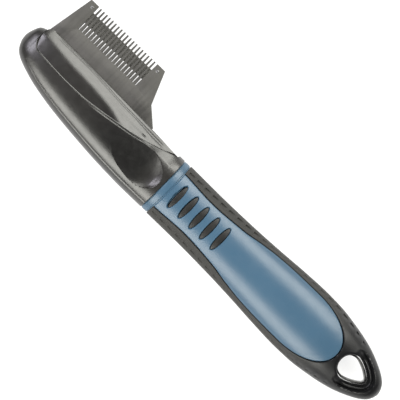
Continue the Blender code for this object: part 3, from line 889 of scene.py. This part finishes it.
def head_shell(name, node, face, material):
    """Half of the head: its outer skin, and a wall down to the parting plane."""
    lines = head_lines()
    across = 180
    seam = Outline([(4.2, 14.0)] + [spot for _, spot in lines if spot[1] is not None] + [(70.0, 14.0)])
    low, crowding = 0.015, 0.08

    def point(i, j):
        x_low, (x_high, y_high) = lines[i]
        t_high = low if y_high is None else max(low, head_angle(x_high, y_high))
        share = j / across - crowding * math.sin(2.0 * math.pi * j / across)
        t = (math.pi - low) + (t_high - math.pi + low) * share
        x = x_low + (x_high - x_low) * share
        spot = head_skin(x, face * t)
        depth = lip(HEAD_END - x, 0.3)
        if spot.y > -3:
            nose = (1.0 - ease(6.2, 7.4, spot.y)) * (1.0 - ease(7.0, 9.0, x))
            depth += lip(seam.distance(x, spot.y), 0.04 + 0.3 * nose)
        if face > 0:
            depth += parting_groove(x, spot.y)
        spot = head_skin(x, face * t, depth)
        if face > 0 and DISH_ZONE[0] < x < DISH_ZONE[1]:
            spot.z = dish_height(x, spot.y, neck_facet(x, spot.y, spot.z))
        return spot

    bm = bmesh.new()
    grid(bm, len(lines) - 1, across, point)
    weld(bm)
    rim = [e for e in bm.edges if e.is_boundary]
    grown = bmesh.ops.extrude_edge_only(bm, edges=rim)["geom"]
    for v in grown:
        if isinstance(v, bmesh.types.BMVert):
            v.co.z = face * SPLIT
    weld(bm)
    cap(bm)
    shell = piece(name, bm, material)
    if face < 0:
        screw_bores(shell, material)
    return stand_for(shell, "head_plastic", node)


def screw_bores(shell, material):
    """Sinks the three screws' bores into the rear shell."""
    bm = bmesh.new()
    for x in SCREWS_X:
        made = bmesh.ops.create_cone(bm, cap_ends=True, segments=48, radius1=SCREW_HEAD_R + 0.55,
                                     radius2=SCREW_HEAD_R + GAP, depth=7.4)["verts"]
        bmesh.ops.translate(bm, verts=made, vec=(x, SCREW_Y, -8.3))
    carve(shell, piece("bores", bm, material))
    shell.data.set_sharp_from_angle(angle=math.radians(35))


def chamfer_width(x):
    """Width of the bright chamfer along the rail's edge at the seam."""
    return 0.26 + 0.27 * ease(44.0, 58.0, x) * (1.0 - 0.6 * ease(61.0, 67.0, x))


def rail_relief(x, y):
    """Faint steps in the rail: a line below its top edge, and the end of its lower bulge."""
    blend = ease(24.0, 46.0, x)
    line = 11.2 - 1.1 * blend - 0.012 * max(0.0, x - 44)
    broad = ease(48.0, 60.0, x)
    width = 0.3 + 0.25 * broad
    upper = (0.12 + 0.07 * broad) * math.exp(-(((y - line + 0.35 * broad) / width) ** 2))
    upper *= ease(7.0, 12.0, x) * (1.0 - ease(61.5, 65.5, x))
    low_line = 7.9 - 0.025 * (x - 40)
    lower = 0.07 * math.exp(-(((y - low_line) / 0.18) ** 2))
    lower *= ease(36.0, 46.0, x) * (1.0 - ease(55.4, 56.4, x))
    notch = 0.16 * math.exp(-(((x - 55.8) / 0.8) ** 2 + ((y - 7.5) / 0.22) ** 2))
    bright = 0.0
    if x > CHAMFER_START:
        slope = 0.5 + RAIL_SLOPE * ease(36.0, 52.0, x)
        bright = slope * max(0.0, chamfer_width(x) - (y - smooth(SEAM, x)))
    return upper + lower + notch + bright


def blade_holder(material):
    """The rail: a closed ring of faces at each place along it, with a slot for the plates on top."""
    corner = [(7.1 - 2.5 * math.cos(a), 9.6 + 2.5 * math.sin(a)) for a in spread(0.0, math.pi / 2, 12)]
    left = [(4.6, 6.5), (4.72, 6.05), (4.9, 5.6), (5.1, 5.15), (5.35, 4.7), (5.65, 4.3), (5.9, 3.95),
            (6.25, 3.6), (6.55, 3.3), (6.85, 3.1), (7.15, 2.98), (7.5, 2.86), (7.9, 2.8)]
    pairs = list(zip(left, corner))
    for share in spread(0.0, 1.0, 190)[1:]:
        x_low = 7.9 + (68.7 - 7.9) * share
        x_high = 7.1 + (69.2 - 7.1) * share
        pairs.append(((x_low, smooth(SEAM, x_low)), (x_high, smooth(RAIL_TOP, x_high))))
    across, at_edge = 54, 7
    slot_z = PLATE_FRONT + 0.06
    plan = Outline([low for low, _ in pairs] + [high for _, high in pairs[::-1]])
    heights = {}

    def height(x, y, face):
        key = (round(x, 2), face)
        if key not in heights:
            heights[key] = rail_heights(x, face)
        edge = 0.03 + 0.28 * ease(0.35, 0.65, (y - smooth(SEAM, x)) / 6.0)
        if x < 7.5:
            beside = (1.0 - ease(6.4, 7.4, y)) * ease(2.5, 4.0, y)
            edge = 0.03 + 0.5 * (1.0 - ease(4.6, 7.5, x)) * beside
        relief = rail_relief(x, y) if face > 0 else 0.0
        level = float(np.interp(y, *heights[key])) - lip(plan.distance(x, y), edge) - relief
        return level if face > 0 else min(level, REST_DEPTH - 0.02)

    def ring(i):
        (x_low, y_low), (x_high, y_high) = pairs[i]
        before, after = pairs[max(0, i - 1)][0], pairs[min(len(pairs) - 1, i + 1)][0]
        along = Vector((after[0] - before[0], after[1] - before[1])).normalized()
        flange = smooth(SEAM_GAP, x_low) - 0.02
        x_out, y_out = x_low + along.y * flange, y_low - along.x * flange
        slot_y = y_high - 1.6 * ease(5.2, 7.1, x_high)
        halves = []
        for face in (1, -1):
            half = []
            first = 0.02
            if x_low > CHAMFER_START:
                first = min(0.4, chamfer_width(x_low) / max(0.5, y_high - y_low))
            for k in range(across + 1):
                share = first * k / at_edge
                if k > at_edge:
                    turn = math.pi * (k - at_edge) / (across - at_edge)
                    share = first + (1 - first) * (1 - math.cos(turn)) / 2
                x, y = x_low + (x_high - x_low) * share, y_low + (y_high - y_low) * share
                half.append((x, y, face * height(x, y, face)))
            low_z, high_z = half[0][2], half[-1][2]
            half += [(x_high, y_high, high_z + (face * slot_z - high_z) * share)
                     for share in (0.33, 0.67, 1.0)]
            half.append((x_high, slot_y, face * slot_z))
            wall_z = low_z - face * (0.42 - 0.32 * ease(38.0, 54.0, x_low))
            halves.append([(x_out, y_out, wall_z), (x_low, y_low, wall_z)] + half)
        return halves[0] + halves[1][::-1]

    rings = [ring(i) for i in range(len(pairs))]
    rings.insert(0, [(x - 0.13, y + (8.0 - y) * 0.1, z * 0.72) for x, y, z in rings[0]])
    count = len(rings[0])
    bm = bmesh.new()
    grid(bm, len(rings) - 1, count, lambda i, j: Vector(rings[i][j % count]))
    weld(bm)
    cap(bm)
    return stand_for(piece("blade_rail", bm, material, 40.0), "head_plastic", "blade_holder")


# The blade


def comb_outline():
    """The plate with its slots, anticlockwise from the foot that sits in the rail."""
    outline = [(7.4, 10.3), (7.4, 5.6), (40.0, 5.6), (50.0, 8.4), (56.0, 9.7), (56.0, 11.6), (49.7, 17.2),
               (44.8, TIP_Y)]
    right = FIRST_SLOT + TEETH * TOOTH_PITCH
    for k in reversed(range(TEETH + 1)):
        centre = FIRST_SLOT + k * TOOTH_PITCH
        outline += tooth_tip(centre + SLOT_TOP_HALF, 1 if centre < right - 0.1 else 0)
        outline += [(centre + SLOT_BOTTOM_HALF * math.cos(a), SLOT_BOTTOM_Y - SLOT_BOTTOM_HALF * math.sin(a))
                    for a in spread(0.0, math.pi, 6)]
        outline += tooth_tip(centre - SLOT_TOP_HALF, -1 if k else 0)
    return outline + [(8.14, TIP_Y), (4.9, 11.0)]


def tooth_tip(x, side):
    """The corner of a slot at the tips: rounded on a tooth, square on an end post."""
    if side == 0:
        return [(x, TIP_Y)]
    arc = [(x + side * TIP_ROUND * (1.0 - math.cos(a)), TIP_Y - TIP_ROUND * (1.0 - math.sin(a)))
           for a in (0.0, 0.5, 1.05, math.pi / 2)]
    return arc[::-1] if side > 0 else arc


def plate(name, node, outline, low, high, material):
    """A flat plate with its edges broken on both faces."""
    bm = prism(outline, low, high)
    flat = [e for e in bm.edges if abs(e.verts[0].co.z - e.verts[1].co.z) < 1e-6]
    bmesh.ops.bevel(bm, geom=flat, affect="EDGES", offset=PLATE_EDGE, segments=2, profile=0.5,
                    material=-1, clamp_overlap=True)
    bmesh.ops.triangulate(bm, faces=[f for f in bm.faces if len(f.verts) > 4])
    return stand_for(piece(name, bm, material, 30.0), "blade_steel", node)


def comb_plates(material):
    outline = comb_outline()
    plate("comb_plate_front", "front_comb_plate", outline, PLATE_BACK, PLATE_FRONT, material)
    plate("comb_plate_rear", "rear_comb_plate", outline, -PLATE_FRONT, -PLATE_BACK, material)


def cutting_strip(material):
    """The strip between the plates, ground to an edge on its tooth side."""
    low, high = STRIP_Y
    tab = 28.2
    outline = [(9.3, low), (44.2, low), (44.2, tab), (41.6, tab), (41.6, high), (11.1, high),
               (11.1, tab), (9.3, tab)]
    bm = prism(outline, -STRIP_HALF, STRIP_HALF)
    edge = [e for e in bm.edges if all(abs(v.co.y - high) < 1e-4 for v in e.verts)
            and abs(e.verts[0].co.x - e.verts[1].co.x) > 5]
    bmesh.ops.bevel(bm, geom=edge, affect="EDGES", offset=0.24, segments=1, profile=0.5, material=-1)
    bmesh.ops.triangulate(bm, faces=bm.faces)
    return stand_for(piece("strip_blade", bm, material, 20.0), "strip_steel", "cutting_strip")


def rivet(name, node, x, y, material):
    """A flat rivet whose closed heads stand a little proud of both plates."""
    profile = [(0.5, 0.0), (0.5, PLATE_FRONT - 0.03), (0.62, PLATE_FRONT + 0.02), (0.56, PLATE_FRONT + 0.09),
               (0.38, PLATE_FRONT + 0.13), (0.18, PLATE_FRONT + 0.14)]
    profile = [(r, -z) for r, z in reversed(profile[1:])] + profile
    count = 28

    def point(i, j):
        r, z = profile[j]
        a = 2 * math.pi * (i % count) / count
        return Vector((x + r * math.cos(a), y + r * math.sin(a), z))

    bm = bmesh.new()
    grid(bm, count, len(profile) - 1, point)
    weld(bm)
    cap(bm)
    return stand_for(piece(name, bm, material), "fixing_steel", node)


def screw(name, node, x, material):
    """A round-headed screw seen at the bottom of its bore, with a cross recess."""
    bm = bmesh.new()
    depth = 1.4
    made = bmesh.ops.create_cone(bm, cap_ends=True, segments=40, radius1=SCREW_HEAD_R,
                                 radius2=SCREW_HEAD_R * 0.82, depth=depth)["verts"]
    bmesh.ops.rotate(bm, verts=made, cent=(0, 0, 0), matrix=Matrix.Rotation(math.pi, 3, "X"))
    bmesh.ops.translate(bm, verts=made, vec=(x, SCREW_Y, SCREW_TOP_Z + depth / 2))
    head = piece(name, bm, material)
    for turn in (0.3, 0.3 + math.pi / 2):
        recess = bmesh.new()
        bmesh.ops.create_cube(recess, size=1.0)
        bmesh.ops.scale(recess, verts=recess.verts, vec=(2.4, 0.55, 1.4))
        bmesh.ops.rotate(recess, verts=recess.verts, cent=(0, 0, 0),
                         matrix=Matrix.Rotation(turn, 3, "Z"))
        bmesh.ops.translate(recess, verts=recess.verts, vec=(x, SCREW_Y, SCREW_TOP_Z))
        carve(head, piece("recess", recess, material))
    head.data.shade_smooth()
    head.data.set_sharp_from_angle(angle=math.radians(35))
    return stand_for(head, "fixing_steel", node)


def carve(obj, cutter):
    """Cuts the cutter out of the object for good and removes the cutter."""
    modifier = obj.modifiers.new("carve", "BOOLEAN")
    modifier.operation = "DIFFERENCE"
    modifier.object = cutter
    modifier.solver = "EXACT"
    depsgraph = bpy.context.evaluated_depsgraph_get()
    mesh = bpy.data.meshes.new_from_object(obj.evaluated_get(depsgraph))
    obj.modifiers.clear()
    obj.data = mesh
    bpy.data.objects.remove(cutter)


# The studio


def studio():
    """A white floor, two soft lamps along the sides, a weak one at the nose, and the camera above."""
    scene = bpy.context.scene
    scene.view_settings.view_transform = "Standard"
    floor_z = CAD_BOX[0][2]
    bm = bmesh.new()
    bmesh.ops.create_grid(bm, x_segments=1, y_segments=1, size=3.0)
    mesh = bpy.data.meshes.new("floor")
    bm.to_mesh(mesh)
    bm.free()
    mesh.transform(Matrix.Translation((0, 0, floor_z)))
    finish = Finish("floor_white", 0.9, Emission_Strength=0.8, Emission_Color=(1, 1, 1, 1))
    finish.colour(finish.ramp(finish.noise(3.0), (0.3, (0.25, 0.25, 0.25)), (0.7, (0.28, 0.28, 0.28))))
    mesh.materials.append(finish.material)
    floor = bpy.data.objects.new("floor", mesh)
    scene.collection.objects.link(floor)

    world = bpy.data.worlds.new("studio")
    world.use_nodes = True
    background = world.node_tree.nodes["Background"].inputs
    background["Color"].default_value = (1.0, 1.0, 1.0, 1.0)
    background["Strength"].default_value = 0.06
    scene.world = world

    centre = Vector((NOSE_X + 0.085, 0.005, PARTING_Z))
    aside, above = math.sin(math.radians(LAMP_TILT)), math.cos(math.radians(LAMP_TILT))
    warm, cool = (1.0, 0.995, 0.93), (0.93, 0.9, 1.0)
    boxes = (("softbox_teeth_side", (0.0, aside, above), (0.75, 0.42), 7.9, warm),
             ("softbox_spine_side", (0.0, -aside, above), (0.75, 0.42), 7.9, warm),
             ("fill_nose_end", (-aside, 0.0, above), (0.26, 0.2), 2.0, cool))
    for name, away, size, power, tint in boxes:
        lamp = bpy.data.lights.new(name, "AREA")
        lamp.shape = "RECTANGLE"
        lamp.size, lamp.size_y = size
        lamp.energy = power
        lamp.color = tint
        away = Vector(away)
        box = bpy.data.objects.new(name, lamp)
        turn = away.to_track_quat("Z", "Y").to_matrix().to_4x4()
        box.matrix_world = Matrix.Translation(centre + away * LAMP_AWAY) @ turn
        scene.collection.objects.link(box)

    lens = bpy.data.cameras.new("camera")
    lens.sensor_width = SENSOR
    lens.lens = SENSOR * CAMERA_AWAY / VIEW_WIDTH
    lens.clip_end = 20.0
    camera = bpy.data.objects.new("camera", lens)
    camera.location = (NOSE_X + 0.08593, 0.00517, PARTING_Z + CAMERA_AWAY)
    camera.rotation_euler = (0.0, 0.0, math.radians(44.5))
    scene.collection.objects.link(camera)
    scene.camera = camera


def main():
    studio()
    head = head_plastic()
    blue = blue_plastic()
    pads = pad_rubber()
    fixing = fixing_steel()
    steel = blade_steel()

    head_shell("head_front", "head_front_shell", 1, head)
    head_shell("head_rear", "head_rear_shell", -1, head)
    blade_holder(head)
    comb_plates(steel)
    cutting_strip(strip_steel())
    for side, (x, y) in STRIP_RIVETS.items():
        rivet(f"strip_rivet_{side}_head", f"strip_rivet_{side}", x, y, fixing)
    for k, x in enumerate(SCREWS_X, 1):
        screw(f"screw_{k}", f"head_screw_{k}", x, fixing)
    collar(blue)
    core_half("inlay_front", "core_front", 1, blue)
    core_half("inlay_rear", "core_rear", -1, blue)
    for face, side in ((1, "front"), (-1, "rear")):
        for k in range(PADS):
            finger_pad(f"pad_{side}_{k + 1}", f"finger_pad_{side}_{k + 1}", FIRST_PAD + k * PAD_PITCH,
                       face, pads)
    grip_overmould(grip_rubber())
    hole_liner(liner_plastic())
    hidden = ["spacer_plate", "tang"] + [f"plate_rivet_{k}" for k in (1, 2, 3)]
    hidden += [f"tang_pin_{k}" for k in (1, 2, 3, 4)]
    for name in hidden:
        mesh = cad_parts[name].data
        mesh.materials.clear()
        mesh.materials.append(steel if name == "spacer_plate" else fixing)


main()
